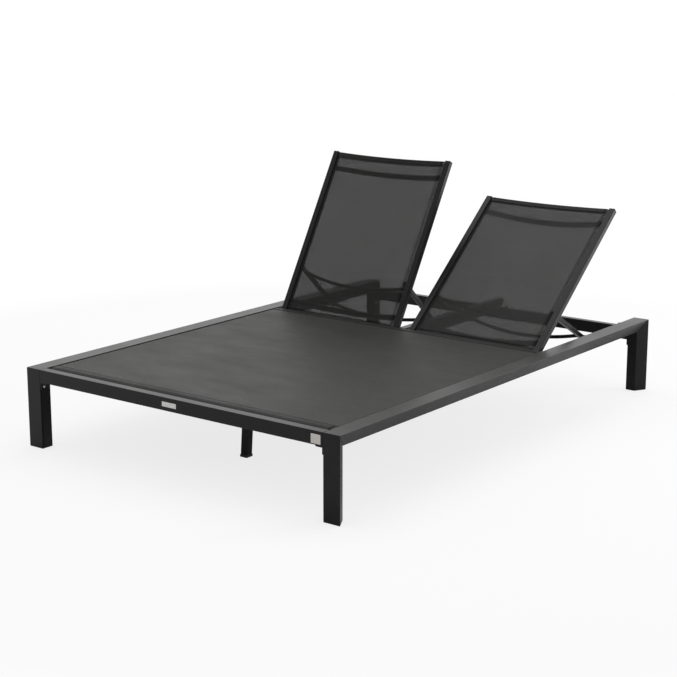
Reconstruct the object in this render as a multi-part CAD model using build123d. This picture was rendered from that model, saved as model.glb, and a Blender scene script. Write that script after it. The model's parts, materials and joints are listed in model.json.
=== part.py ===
from build123d import *
from math import asin, atan, cos, degrees, radians, sin, sqrt, tan
import os

# Double chaise lounger: a low aluminium deck, one wide sling seat and two backrests that tilt one by one.
# Millimetres, +Z up, +Y towards the head end, +X to the right as seen from the foot end.
# The origin is on the floor, under the middle of the deck.

# Deck: overall size, and the bevelled extrusion of the side rails and legs
deck_length = 2000.0
deck_width = 1370.0
deck_height = 285.0
rail_face = 65.0          # width of the wide outer face
rail_back = 39.0          # width of the narrow inner face, so the outer side slopes in
rail_depth = 47.0
rail_wall = 2.0

# Groove along the inner edge of every extrusion, which holds the beaded edge of a sling
groove_drop = 4.6         # from the outer face to the groove's centre
groove_radius = 2.8
groove_wall = 1.5
sling_thickness = 1.5
sling_play = 0.3          # all round the bead and on both sides of the sheet

# Front rail, and the three crossbars below the deck's top
front_rail_width = 32.0
front_rail_height = 45.0
crossbar_width = 25.0
crossbar_height = 46.0    # of the rear crossbar
seat_bar_height = 32.0    # of the two crossbars under the seat, which the side rails hide
crossbar_drop = 31.0      # from the deck's top to a crossbar's top
bar_wall = 2.0
hinge_bar_lead = 6.5      # from the hinge crossbar's middle to the hinge axis
leg_bar_inset = 383.4     # from the foot end to the middle of the crossbar that carries the centre leg

# Centre beam between the backrests, coped over the hinge crossbar and the rear crossbar
beam_width = 30.0
beam_height = 50.0
beam_wall = 2.0
beam_plug_sole = 2.5
beam_plug_depth = 12.0
beam_plug_play = 0.2

# Seat sling
sling_front_gap = 13.0    # between the front rail and the sling's front edge
sling_rear_gap = 2.5      # between the sling's rear edge and the centre beam

# Centre leg
leg_width = 28.0
leg_wall = 1.5
leg_rake = 4.5            # degrees, foot towards the foot end
shoe_wall = 1.5
shoe_sole = 3.0
shoe_height = 9.0
leg_plate_length = 74.0
leg_plate_thickness = 4.0

# Glides pressed into the four corner legs
glide_sole = 2.5
glide_inset = 0.5
glide_plug = 14.0
glide_play = 0.3

# Corner brackets under the front rail and under the rear crossbar
bracket_height = 29.0
bracket_reach = 34.0
bracket_width = 29.0
bracket_thickness = 5.0
bracket_corner = 7.0

# Dome head screws of the brackets and the racks
screw_head = 6.0
screw_crown = 3.4
screw_shank = 3.0
rack_screw_head = 4.0
rack_screw_crown = 2.2
rack_screw_shank = 2.0

# Backrests: where they hinge, their size and their angles in the photograph
hinge_drop = 13.0         # from the deck's top to the hinge axis
flat_overhang = 10.0      # caps of a flat backrest beyond the head end
backrest_outer_gap = 17.0  # side rail to backrest
backrest_inner_gap = 11.5  # centre beam to backrest
backrest_length = 706.0   # hinge axis to the tip of the upper caps
backrest_tail = 11.0      # hinge axis to the tip of the lower caps
tube_width = 25.0
tube_depth = 22.0
tube_wall = 1.6
tube_corner = 3.0
cap_sole = 3.0
cap_play = 0.2
upper_cap_plug = 12.0
lower_cap_plug = 2.5
left_angle = 60.0         # degrees
click_angle = 10.0        # degrees from one notch to the next
right_clicks_down = 2     # notches between the left and the right backrest
notch_count = 5
path_steps = 400          # steps along the foot bar's path
lift_angle = 4.0          # degrees past the top notch, to free the foot bar

# Slings and bars of each backrest
sling_low = -7.0          # hinge axis to the sling's lower edge, which is below it
sling_tip_gap = 7.0       # sling's upper edge to the tip of the upper caps
spreader_drop = 70.0      # tip of the upper caps to the spreader's middle
spreader_back = 4.0       # behind the hinge plane, clear of the sling
spreader_radius = 11.0
spreader_wall = 1.5
spreader_sag = 28.0
lower_bar_place = 44.5    # hinge axis to the lower bar, bowed like the spreader
lower_bar_sag = 34.0
stub_length = 12.0        # straight end of a bowed bar
bend_radius = 40.0        # where a stub turns into the bow

# Hinge bolts with their spacers and bushes
hinge_bolt_radius = 4.0
hinge_bolt_tip = 6.0      # past the inner wall of the side rail
hinge_head_radius = 6.5
hinge_head_height = 4.0
hinge_spacer_radius = 9.0
bush_radius = 5.2
bush_flange_radius = 7.0
bush_flange = 1.0
running_play = 0.05       # radial, between a bolt and what turns on it
side_play = 0.3           # along a bolt, between faces that turn on each other

# Strut that props each backrest: two arms, a bowed stretcher and a bowed foot bar
pivot_place = 185.0       # along the backrest from the hinge axis
pivot_back = 4.0          # behind the hinge plane
arm_length = 256.0        # pivot to foot bar
arm_size = 16.0
arm_wall = 1.5
arm_corner = 1.5
arm_tail = 5.5            # past the pivot
arm_tip = 9.5             # past the foot bar
arm_cap_sole = 1.3
arm_cap_plug = 2.0
arm_cap_play = 0.2
arm_gap = 4.0             # backrest tube to arm
pivot_bolt_radius = 3.0
pivot_bolt_tip = 6.0      # past the wall of the backrest tube
pivot_head_radius = 5.5
pivot_head_height = 3.5
pivot_washer_radius = 7.0
stretcher_place = 38.0    # along the arm from the pivot
stretcher_radius = 7.0
stretcher_wall = 1.2
strut_sag = 28.0
foot_radius = 7.0
foot_wall = 1.2
foot_end_gap = 3.0        # foot bar to the side rail's or the centre beam's face
foot_cap_sole = 2.0
foot_cap_plug = 6.0
foot_cap_play = 0.1
flat_foot_gap = 0.5       # foot bar to the backrest tube above it when the backrest lies flat

# Notched racks that the foot bar rests on
rack_thickness = 10.0
rack_end = 20.0           # rack beyond the foot bar's first and last place
rack_play = 0.3           # between the foot bar and the crests that it rides over
rack_screw_inset = 8.0
notch_depth = 6.0
notch_play = 0.6
notch_floor = 3.0         # flat of a notch's floor ahead of the foot bar's centre
crest_width = 3.0

# Rubber buffers on the rear crossbar, at the inner edges of the tubes of a flat backrest
buffer_radius = 7.5
buffer_crown = 2.0
buffer_gap = 0.3
buffer_offset = 2.0       # from the tube's inner edge to the buffer's middle

# Cuts run past the faces that they open
overrun = 5.0

# Places worked out from the sizes above
half_length = deck_length / 2
inner_face = deck_width / 2 - rail_face
rail_bottom = deck_height - rail_depth
sling_height = deck_height - groove_drop
front_rail_bottom = deck_height - front_rail_height
front_rail_place = -half_length + front_rail_width / 2
crossbar_top = deck_height - crossbar_drop
crossbar_bottom = crossbar_top - crossbar_height
seat_bar_bottom = crossbar_top - seat_bar_height
beam_face = beam_width / 2
beam_bottom = deck_height - beam_height
beam_rear = half_length - beam_plug_sole
hinge_height = deck_height - hinge_drop
hinge_place = half_length + flat_overhang - backrest_length
hinge_bar_place = hinge_place - hinge_bar_lead
rear_bar_place = half_length - rail_depth + crossbar_width / 2
leg_bar_place = leg_bar_inset - half_length
beam_front = hinge_bar_place - crossbar_width / 2
sling_high = backrest_length - sling_tip_gap
spreader_place = backrest_length - spreader_drop
rear_bracket_place = half_length - rail_depth + bracket_width / 2
bead_radius = groove_radius - sling_play
slot_height = sling_thickness + 2 * sling_play
groove_inset = groove_radius + groove_wall

tube_inner_x = beam_face + backrest_inner_gap
tube_outer_x = inner_face - backrest_outer_gap
tube_middle = hinge_drop - tube_depth / 2     # tube's centre in front of the hinge plane
tube_back = tube_depth / 2 - tube_middle      # tube's rear face behind the hinge plane
right_angle = left_angle - right_clicks_down * click_angle
top_angle = left_angle + lift_angle
arm_inner_x = tube_inner_x + tube_width + arm_gap
arm_outer_x = tube_outer_x - tube_width - arm_gap
foot_height = hinge_height - tube_back - flat_foot_gap - foot_radius


def save(name, solids):
    """Writes one node, made of one or more separate solids."""
    shape = solids[0] if len(solids) == 1 else Compound(children=solids)
    export_step(shape, f"parts/{name}.step")


def block(x, y, z):
    """A box from three (low, high) pairs."""
    size = [high - low for low, high in (x, y, z)]
    middle = [(high + low) / 2 for low, high in (x, y, z)]
    return Pos(*middle) * Box(*size)


def rod(ends, y, z, radius):
    """A round bar along X between two ends, given in either order."""
    low, high = sorted(ends)
    return Pos((low + high) / 2, y, z) * Rot(0, 90, 0) * Cylinder(radius, high - low)


def both_sides(solids):
    """Right pieces, followed by the same pieces on the left."""
    return solids + [mirror(solid, about=Plane.YZ) for solid in solids]


def hollow_rectangle(width, height, wall):
    return Rectangle(width, height) - Rectangle(width - 2 * wall, height - 2 * wall)


def tab(width, height, thickness, corner):
    """A flat plate hung from the middle of its upper edge, with round lower corners, thick along +Z."""
    outline = Pos(0, -height / 2) * Rectangle(width, height)
    outline = fillet(outline.vertices().group_by(Axis.Y)[0], corner)
    return extrude(outline, thickness)


# Bevelled extrusion of the side rails and legs. Local X runs outwards from the inner face and
# local Y inwards from the outer face.

def extrusion_outline():
    corners = ((0, 0), (rail_face, 0), (rail_back, rail_depth), (0, rail_depth))
    return make_face(Polyline(*corners, close=True))


def extrusion_cavity():
    """The hollow, around the wall of the sling groove."""
    hollow = offset(extrusion_outline(), -rail_wall, kind=Kind.INTERSECTION)
    return hollow - Pos(groove_inset, groove_drop) * Circle(groove_radius + groove_wall)


def extrusion_section():
    groove = Pos(groove_inset, groove_drop) * Circle(groove_radius)
    slot = Pos((groove_inset - overrun) / 2, groove_drop) * Rectangle(groove_inset + overrun, slot_height)
    return extrusion_outline() - extrusion_cavity() - groove - slot


def mitre(end):
    """Plane between a side rail and the leg at the foot end (-1) or the head end (1)."""
    return Plane(origin=(0, end * half_length, deck_height), z_dir=(0, -end, 1))


def side_rail():
    """Right side rail, mitred at both ends and drilled for the hinge bolt and the rack's screws."""
    start = Plane(origin=(inner_face, -half_length, deck_height), x_dir=(1, 0, 0), z_dir=(0, 1, 0))
    rail = extrude(start * extrusion_section(), deck_length)
    rail = split(rail, bisect_by=mitre(-1), keep=Keep.TOP)
    rail = split(rail, bisect_by=mitre(1), keep=Keep.TOP)
    ends = (inner_face - overrun, inner_face + hinge_bolt_tip)
    rail -= rod(ends, hinge_place, hinge_height, hinge_bolt_radius)
    return rail - rack_screws(inner_face - rack_thickness, -1)


def corner_leg(end):
    """Right leg, mitred to the side rail, cut short for its glide and drilled for its bracket."""
    start = 0 if end < 0 else deck_height
    section = Plane(origin=(inner_face, end * half_length, start), x_dir=(1, 0, 0), z_dir=(0, 0, -end))
    leg = extrude(section * extrusion_section(), deck_height)
    leg = split(leg, bisect_by=mitre(end), keep=Keep.BOTTOM)
    leg = split(leg, bisect_by=Plane.XY.offset(glide_sole), keep=Keep.TOP)
    return leg - bracket_screws(*bracket_corner_of(end))


def glide(end):
    """Moulded glide of a right leg: a sole under the leg's walls and a plug in its hollow."""
    floor = Plane(origin=(inner_face, end * half_length, 0), x_dir=(1, 0, 0), z_dir=(0, 0, -end))
    sole = offset(extrusion_outline(), -glide_inset, kind=Kind.INTERSECTION)
    plug = offset(extrusion_cavity(), -glide_play, kind=Kind.INTERSECTION)
    upwards = -end
    sole = extrude(floor * sole, upwards * glide_sole)
    return sole + extrude(floor * plug, upwards * (glide_sole + glide_plug))


# Straight rectangular tubes

def cross_tube(place, top, width, height):
    """A tube from one side rail or leg to the other."""
    start = Plane(origin=(-inner_face, place, top - height / 2), x_dir=(0, 1, 0), z_dir=(1, 0, 0))
    return extrude(start * hollow_rectangle(width, height, bar_wall), 2 * inner_face)


def crossbar(place, height):
    return cross_tube(place, crossbar_top, crossbar_width, height)


def rear_crossbar():
    """Crossbar drilled for the rear brackets."""
    return crossbar(rear_bar_place, crossbar_height) - both_sides(bracket_screws(*bracket_corner_of(1)))


def front_rail():
    """Rail between the front legs, drilled for the front brackets."""
    rail = cross_tube(front_rail_place, deck_height, front_rail_width, front_rail_height)
    return rail - both_sides(bracket_screws(*bracket_corner_of(-1)))


def centre_beam():
    """Tube on edge, coped over two crossbars and drilled for the hinge bolt and the racks' screws."""
    start = Plane(origin=(0, beam_front, deck_height - beam_height / 2), x_dir=(-1, 0, 0), z_dir=(0, 1, 0))
    beam = extrude(start * hollow_rectangle(beam_width, beam_height, beam_wall), beam_rear - beam_front)
    across = (-beam_face - overrun, beam_face + overrun)
    upright = (beam_bottom - overrun, crossbar_top)
    beam -= block(across, (beam_front - overrun, beam_front + crossbar_width), upright)
    beam -= block(across, (rear_bar_place - crossbar_width / 2, half_length + overrun), upright)
    beam -= rod(across, hinge_place, hinge_height, hinge_bolt_radius)
    return beam - both_sides(rack_screws(beam_face + rack_thickness, 1))


def beam_plug():
    """Moulded end of the centre beam, shaped to the part of the beam that passes over the crossbar."""
    height = deck_height - crossbar_top
    middle = crossbar_top + height / 2
    face = Plane(origin=(0, half_length, middle), x_dir=(1, 0, 0), z_dir=(0, -1, 0))
    sole = extrude(face * Rectangle(beam_width, height), beam_plug_sole)
    inside = beam_width - 2 * (beam_wall + beam_plug_play)
    low = crossbar_top + beam_plug_play
    high = deck_height - beam_wall - beam_plug_play
    core = block(
        (-inside / 2, inside / 2), (beam_rear - beam_plug_depth, beam_rear), (low, high)
    )
    return sole + core


# Centre leg

def raked(section, low, high):
    """A section in X and Y, carried up from one height to another along the centre leg's rake."""
    slope = tan(radians(leg_rake))
    start = leg_bar_place - (seat_bar_bottom - low) * slope
    way = Vector(0, slope, 1)
    return extrude(Pos(0, start, low) * section, amount=(high - low) * way.length, dir=way)


def centre_leg():
    """Square tube that leans to the foot end, welded to the plate under its crossbar."""
    section = hollow_rectangle(leg_width, leg_width, leg_wall)
    return raked(section, shoe_sole, seat_bar_bottom - leg_plate_thickness)


def centre_leg_shoe():
    """Rubber shoe round the foot of the centre leg."""
    outer = leg_width + 2 * shoe_wall
    shoe = raked(Rectangle(outer, outer), 0, shoe_height)
    return shoe - raked(Rectangle(leg_width, leg_width), shoe_sole, shoe_height + overrun)


def centre_leg_plate():
    """Plate between the centre leg and its crossbar."""
    half = leg_plate_length / 2
    depth = (leg_bar_place - leg_width / 2, leg_bar_place + leg_width / 2)
    return block((-half, half), depth, (seat_bar_bottom - leg_plate_thickness, seat_bar_bottom))


# Brackets and screws

def screw(place, way, head, crown, shank, length):
    """Dome head screw: its head stands on the given place and points the given way."""
    rise = (head ** 2 + crown ** 2) / (2 * crown)
    dome = Pos(0, 0, crown - rise) * Sphere(rise)
    dome = dome & Pos(0, 0, crown / 2) * Cylinder(head, crown)
    body = dome + Pos(0, 0, -length / 2) * Cylinder(shank, length)
    return Plane(origin=place, z_dir=way) * body


def bracket_corner_of(end):
    """Middle of a bracket along Y and the height that it hangs from, at the foot (-1) or head (1) end."""
    if end < 0:
        return front_rail_place, front_rail_bottom
    return rear_bracket_place, crossbar_bottom


def bracket_seats(place, bar_bottom):
    """Where the two screws of a right bracket bear, with the way their heads point."""
    low = bar_bottom - bracket_thickness
    upright = (inner_face - bracket_thickness, place, low - (bracket_height - bracket_thickness) / 2)
    level = (inner_face - bracket_thickness - (bracket_reach - bracket_thickness) / 2, place, low)
    return (upright, (-1, 0, 0)), (level, (0, 0, -1))


def bracket_screws(place, bar_bottom):
    """Screws through the bracket and the wall behind it."""
    length = bracket_thickness + rail_wall
    seats = bracket_seats(place, bar_bottom)
    return [screw(spot, way, screw_head, screw_crown, screw_shank, length) for spot, way in seats]


def bracket(place, bar_bottom):
    """Right bracket: one wing down the leg's inner face and one under the bar, drilled for its screws."""
    wing = tab(bracket_width, bracket_height, bracket_thickness, bracket_corner)
    shelf = tab(bracket_width, bracket_reach, bracket_thickness, bracket_corner)
    corner = (inner_face, place, bar_bottom)
    body = Plane(origin=corner, x_dir=(0, -1, 0), z_dir=(-1, 0, 0)) * wing
    body += Plane(origin=corner, x_dir=(0, 1, 0), z_dir=(0, 0, -1)) * shelf
    return body - bracket_screws(place, bar_bottom)


# Motion of a strut: its angle follows the backrest's at one steady rate

def pivot_point(angle):
    """Strut pivot, as (y, z), with the backrest raised by the given degrees."""
    turn = radians(angle)
    y = hinge_place + pivot_place * cos(turn) + pivot_back * sin(turn)
    z = hinge_height + pivot_place * sin(turn) - pivot_back * cos(turn)
    return y, z


def level_strut_angle(angle):
    """Degrees below level that would keep the foot bar at the height it has under a flat backrest."""
    return degrees(asin((pivot_point(angle)[1] - foot_height) / arm_length))


flat_strut_angle = level_strut_angle(0)
strut_rate = (level_strut_angle(left_angle) - flat_strut_angle) / left_angle


def strut_angle(angle):
    return flat_strut_angle + strut_rate * angle


def foot_point(angle):
    """Foot bar's centre, as (y, z), with the backrest raised by the given degrees."""
    y, z = pivot_point(angle)
    dip = radians(strut_angle(angle))
    return y + arm_length * cos(dip), z - arm_length * sin(dip)


def foot_path():
    """Foot bar's centres over the whole travel, from flat to the top."""
    return [foot_point(top_angle * step / path_steps) for step in range(path_steps + 1)]


def crest_height(y):
    """Height at the given y that the foot bar never comes closer to than the rack's play."""
    reach = foot_radius + rack_play
    path = foot_path()
    y = min(max(y, path[-1][0]), path[0][0])
    near = [(centre, z) for centre, z in path if abs(centre - y) < reach]
    return min(z - sqrt(reach ** 2 - (centre - y) ** 2) for centre, z in near)


# Racks

def rack_ends():
    """First and last y of a rack."""
    return foot_point(top_angle)[0] - rack_end, foot_point(0)[0] + rack_end


def rack_outline():
    """Side view as (y, z): a low seat for the flat backrest, then notches with upright backs."""
    front, rear = rack_ends()
    flat = foot_point(0)[0] - foot_radius - notch_play
    points = [(front, rail_bottom), (rear, rail_bottom), (rear, crest_height(rear))]
    points += [(flat, crest_height(rear)), (flat, crest_height(flat))]
    for number in reversed(range(notch_count)):
        y, z = foot_point(left_angle - number * click_angle)
        back = y + foot_radius + notch_play
        crest = back + crest_width
        floor = z - foot_radius - rack_play - notch_depth
        points += [(crest, crest_height(crest)), (back, crest_height(back))]
        points += [(back, floor), (y - notch_floor, floor)]
    points.append((front, crest_height(front)))
    return points


def rack(low, high):
    """A rack between two places along X."""
    side = Plane(origin=(low, 0, 0), x_dir=(0, 1, 0), z_dir=(1, 0, 0))
    return extrude(side * make_face(Polyline(*rack_outline(), close=True)), high - low)


def rack_screws(face, way):
    """Two screws through a rack into the wall behind it, heads on the given face."""
    front, rear = rack_ends()
    height = (rail_bottom + crest_height(front)) / 2
    sizes = (rack_screw_head, rack_screw_crown, rack_screw_shank, rack_thickness + rail_wall)
    places = (front + rack_screw_inset, rear - rack_screw_inset)
    return [screw((face, y, height), (way, 0, 0), *sizes) for y in places]


def racks():
    """Right racks by name, each with its screws: one on the centre beam and one on the side rail."""
    beam_side = beam_face + rack_thickness
    rail_side = inner_face - rack_thickness
    found = {}
    for name, face, wall, way in (("beam", beam_side, beam_face, 1), ("rail", rail_side, inner_face, -1)):
        screws = rack_screws(face, way)
        found[name] = (rack(*sorted((face, wall))) - screws, screws)
    return found


# Rear buffers and hinge bolts

def buffer(x):
    """Rubber buffer that ends just under the tube of a flat backrest."""
    top = hinge_height - tube_back - buffer_gap
    body = Pos(x, rear_bar_place, (crossbar_top + top) / 2) * Cylinder(buffer_radius, top - crossbar_top)
    return fillet(body.edges().group_by(Axis.Z)[-1], buffer_crown)


def right_buffers():
    inner = tube_inner_x + tube_width + buffer_offset
    outer = tube_outer_x - tube_width - buffer_offset
    return [buffer(inner), buffer(outer)]


def bolt_head(face, way):
    ends = (face, face + way * hinge_head_height)
    return rod(ends, hinge_place, hinge_height, hinge_head_radius)


def side_hinge_bolt():
    """Right outer hinge bolt: head inside the backrest tube's inner side, tip in the side rail."""
    face = tube_outer_x - tube_width - bush_flange - side_play
    ends = (face, inner_face + hinge_bolt_tip)
    return rod(ends, hinge_place, hinge_height, hinge_bolt_radius) + bolt_head(face, -1)


def centre_hinge_bolt():
    """One bolt through the beam, with a head or nut beyond each backrest's inner tube."""
    face = tube_inner_x + tube_width + bush_flange + side_play
    bolt = rod((-face, face), hinge_place, hinge_height, hinge_bolt_radius)
    return bolt + bolt_head(face, 1) + bolt_head(-face, -1)


def collar(ends, y, z, radius, bore):
    low, high = sorted(ends)
    return rod((low, high), y, z, radius) - rod((low - overrun, high + overrun), y, z, bore)


def hinge_spacers():
    """Right collars that keep a backrest's bushes off the side rail and the centre beam."""
    clear = bush_flange + side_play
    pairs = ((beam_face, tube_inner_x - clear), (tube_outer_x + clear, inner_face))
    return [collar(ends, hinge_place, hinge_height, hinge_spacer_radius, hinge_bolt_radius) for ends in pairs]


# Slings

def sling(side_ends, long_ends, z):
    """A sheet with a bead along each side, as it sits in two grooves."""
    low, high = long_ends
    sheet = block(side_ends, long_ends, (z - sling_thickness / 2, z + sling_thickness / 2))
    for x in side_ends:
        sheet += Pos(x, (low + high) / 2, z) * Rot(90, 0, 0) * Cylinder(bead_radius, high - low)
    return sheet


def seat_sling():
    edge = inner_face + groove_inset
    front = -half_length + front_rail_width + sling_front_gap
    return sling((-edge, edge), (front, beam_front - sling_rear_gap), sling_height)


# Right backrest as it lies flat

def tube_groove(radius):
    """A round in the groove's place, in the section of a backrest tube."""
    return Pos(tube_width / 2 - groove_inset, tube_depth / 2 - groove_drop) * Circle(radius)


def tube_cavity():
    inside = Rectangle(tube_width - 2 * tube_wall, tube_depth - 2 * tube_wall)
    return inside - tube_groove(groove_radius + groove_wall)


def tube_section():
    """Section of a backrest tube, with its groove opening to local +X."""
    middle = (tube_width - groove_inset + overrun) / 2
    slot = Pos(middle, tube_depth / 2 - groove_drop) * Rectangle(groove_inset + overrun, slot_height)
    body = RectangleRounded(tube_width, tube_depth, tube_corner)
    return body - tube_cavity() - tube_groove(groove_radius) - slot


def tube_plane(x, y, facing):
    """Section plane of a backrest tube whose groove opens towards +X (1) or -X (-1)."""
    return Plane(origin=(x, y, hinge_height + tube_middle), x_dir=(facing, 0, 0), z_dir=(0, -facing, 0))


def backrest_tube(x, facing):
    """Side tube, drilled through for its hinge bush and on its inner side for the strut's pivot bolt."""
    low = hinge_place - backrest_tail + cap_sole
    high = hinge_place + backrest_length - cap_sole
    tube = extrude(tube_plane(x, high if facing > 0 else low, facing) * tube_section(), high - low)
    half = tube_width / 2 + overrun
    tube -= rod((x - half, x + half), hinge_place, hinge_height, bush_radius)
    return tube - rod((x, x + facing * half), *pivot_point(0), pivot_bolt_radius)


def tube_caps(x, facing):
    """Moulded caps of a side tube, each with a plug in the tube."""
    low = hinge_place - backrest_tail
    high = hinge_place + backrest_length
    sole = RectangleRounded(tube_width, tube_depth, tube_corner)
    plug = offset(tube_cavity(), -cap_play, kind=Kind.INTERSECTION)
    caps = []
    for tip, way, depth in ((low, 1, lower_cap_plug), (high, -1, upper_cap_plug)):
        plane = tube_plane(x, tip, facing)
        inwards = -facing * way
        cap = extrude(plane * sole, inwards * cap_sole)
        caps.append(cap + extrude(plane * plug, inwards * (cap_sole + depth)))
    return caps


def hinge_bush(x):
    """Plastic bush through a side tube, with a flange on each side."""
    half = tube_width / 2
    bush = rod((x - half - bush_flange, x + half + bush_flange), hinge_place, hinge_height, bush_radius)
    for way in (-1, 1):
        ends = (x + way * half, x + way * (half + bush_flange))
        bush += rod(ends, hinge_place, hinge_height, bush_flange_radius)
    through = (x - half - overrun, x + half + overrun)
    return bush - rod(through, hinge_place, hinge_height, hinge_bolt_radius + running_play)


def bowed_bar(ends, bow_ends, sag, radius, wall):
    """A round tube along X: straight at both ends, with a bow that sags in -Z between them."""
    low, high = ends
    start, stop = bow_ends
    half = (stop - start) / 2
    slope = 2 * atan(sag / half)
    corner = bend_radius * tan(slope / 2)
    bow_radius = (half / cos(slope) - 2 * corner) / tan(slope)
    path = FilletPolyline(
        (low, 0, 0), (start, 0, 0), ((start + stop) / 2, 0, -half * tan(slope)), (stop, 0, 0), (high, 0, 0),
        radius=[bend_radius, bow_radius, bend_radius],
    )
    ring = Circle(radius) - Circle(radius - wall)
    return sweep(Plane(origin=path @ 0, z_dir=path % 0) * ring, path=path)


def bowed_between(low, high, sag, radius, wall):
    """A bowed bar that fills the space between two faces."""
    return bowed_bar((low, high), (low + stub_length, high - stub_length), sag, radius, wall)


def spreader(place, sag):
    """Bowed bar across the backrest, clear of the sling in front of it."""
    bar = bowed_between(
        tube_inner_x + tube_width, tube_outer_x - tube_width, sag, spreader_radius, spreader_wall
    )
    return Pos(0, hinge_place + place, hinge_height - spreader_back) * bar


def backrest_sling():
    edge = tube_width - groove_inset
    long_ends = (hinge_place + sling_low, hinge_place + sling_high)
    return sling((tube_inner_x + edge, tube_outer_x - edge), long_ends, sling_height)


def pivot_bolt(face, way):
    """Bolt from inside a side tube, through its inner face and an arm, to a head beyond the arm."""
    head = face + way * (arm_gap + arm_size + side_play)
    bolt = rod((face - way * (tube_wall + pivot_bolt_tip), head), *pivot_point(0), pivot_bolt_radius)
    return bolt + rod((head, head + way * pivot_head_height), *pivot_point(0), pivot_head_radius)


def pivot_washer(face, way):
    """Thick washer between a side tube and an arm."""
    ends = (face, face + way * (arm_gap - side_play))
    return collar(ends, *pivot_point(0), pivot_washer_radius, pivot_bolt_radius)


def flat_backrest():
    """The right backrest's pieces by name, lying flat."""
    inner, outer = tube_inner_x + tube_width / 2, tube_outer_x - tube_width / 2
    faces = ((tube_inner_x + tube_width, 1), (tube_outer_x - tube_width, -1))
    return {
        "inner_tube": [backrest_tube(inner, 1)],
        "outer_tube": [backrest_tube(outer, -1)],
        "tube_caps": tube_caps(inner, 1) + tube_caps(outer, -1),
        "hinge_bushes": [hinge_bush(inner), hinge_bush(outer)],
        "spreader_bar": [spreader(spreader_place, spreader_sag)],
        "lower_bar": [spreader(lower_bar_place, lower_bar_sag)],
        "sling": [backrest_sling()],
        "pivot_bolts": [pivot_bolt(*face) for face in faces],
        "pivot_washers": [pivot_washer(*face) for face in faces],
    }


# Right strut, with its pivot axis at the origin and its arms along +Y

def arm(low):
    """Square tube, drilled at the pivot and at the foot bar."""
    start = Plane(origin=(low + arm_size / 2, -arm_tail, 0), x_dir=(-1, 0, 0), z_dir=(0, 1, 0))
    section = RectangleRounded(arm_size, arm_size, arm_corner)
    section -= Rectangle(arm_size - 2 * arm_wall, arm_size - 2 * arm_wall)
    tube = extrude(start * section, arm_tail + arm_length + arm_tip)
    through = (low - overrun, low + arm_size + overrun)
    tube -= rod(through, 0, 0, pivot_bolt_radius + running_play)
    return tube - rod(through, arm_length, 0, foot_radius)


def arm_caps(low):
    """Thin caps in both ends of an arm."""
    caps = []
    plug = arm_size - 2 * (arm_wall + arm_cap_play)
    for tip, way in ((-arm_tail, -1), (arm_length + arm_tip, 1)):
        face = Plane(origin=(low + arm_size / 2, tip, 0), x_dir=(way, 0, 0), z_dir=(0, -way, 0))
        cap = extrude(face * RectangleRounded(arm_size, arm_size, arm_corner), -arm_cap_sole)
        caps.append(cap + extrude(face * Rectangle(plug, plug), arm_cap_plug))
    return caps


def foot_bar_ends():
    return beam_face + foot_end_gap + foot_cap_sole, inner_face - foot_end_gap - foot_cap_sole


def foot_bar():
    """Bar through both arms, bowed between them, whose straight ends rest on the racks."""
    bow_ends = (arm_inner_x + arm_size + stub_length, arm_outer_x - arm_size - stub_length)
    return Pos(0, arm_length, 0) * bowed_bar(foot_bar_ends(), bow_ends, strut_sag, foot_radius, foot_wall)


def foot_caps():
    caps = []
    for tip, way in zip(foot_bar_ends(), (-1, 1)):
        sole = rod((tip, tip + way * foot_cap_sole), arm_length, 0, foot_radius)
        plug = rod((tip, tip - way * foot_cap_plug), arm_length, 0, foot_radius - foot_wall - foot_cap_play)
        caps.append(sole + plug)
    return caps


def stretcher():
    """Bowed bar between the arms, near their pivots."""
    bar = bowed_between(
        arm_inner_x + arm_size, arm_outer_x - arm_size, strut_sag, stretcher_radius, stretcher_wall
    )
    return Pos(0, stretcher_place, 0) * bar


def level_strut():
    """The right strut's pieces by name, before they are put in place."""
    inner, outer = arm_inner_x, arm_outer_x - arm_size
    return {
        "inner_arm": [arm(inner)],
        "outer_arm": [arm(outer)],
        "stretcher": [stretcher()],
        "foot_bar": [foot_bar()],
        "caps": arm_caps(inner) + arm_caps(outer) + foot_caps(),
    }


def save_frame():
    """The pieces that stay still, apart from fasteners and racks."""
    right, left = both_sides([side_rail()])
    save("right_side_rail", [right])
    save("left_side_rail", [left])
    for end, name in ((-1, "front"), (1, "rear")):
        right, left = both_sides([corner_leg(end)])
        save(f"right_{name}_leg", [right])
        save(f"left_{name}_leg", [left])
    save("leg_glides", both_sides([glide(-1), glide(1)]))
    save("front_rail", [front_rail()])
    save("rear_crossbar", [rear_crossbar()])
    save("hinge_crossbar", [crossbar(hinge_bar_place, seat_bar_height)])
    save("leg_crossbar", [crossbar(leg_bar_place, seat_bar_height)])
    save("centre_beam", [centre_beam()])
    save("centre_beam_plug", [beam_plug()])
    save("centre_leg", [centre_leg()])
    save("centre_leg_plate", [centre_leg_plate()])
    save("centre_leg_shoe", [centre_leg_shoe()])
    save("seat_sling", [seat_sling()])


def save_fittings():
    """Brackets, racks, buffers and hinge bolts."""
    screws = []
    for end, name in ((-1, "front"), (1, "rear")):
        right, left = both_sides([bracket(*bracket_corner_of(end))])
        save(f"right_{name}_bracket", [right])
        save(f"left_{name}_bracket", [left])
        screws += bracket_screws(*bracket_corner_of(end))
    save("bracket_screws", both_sides(screws))
    screws = []
    for name, (body, fixings) in racks().items():
        right, left = both_sides([body])
        save(f"right_{name}_rack", [right])
        save(f"left_{name}_rack", [left])
        screws += fixings
    save("rack_screws", both_sides(screws))
    save("rear_buffers", both_sides(right_buffers()))
    save("hinge_bolts", both_sides([side_hinge_bolt()]) + [centre_hinge_bolt()])
    save("hinge_spacers", both_sides(hinge_spacers()))


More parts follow.
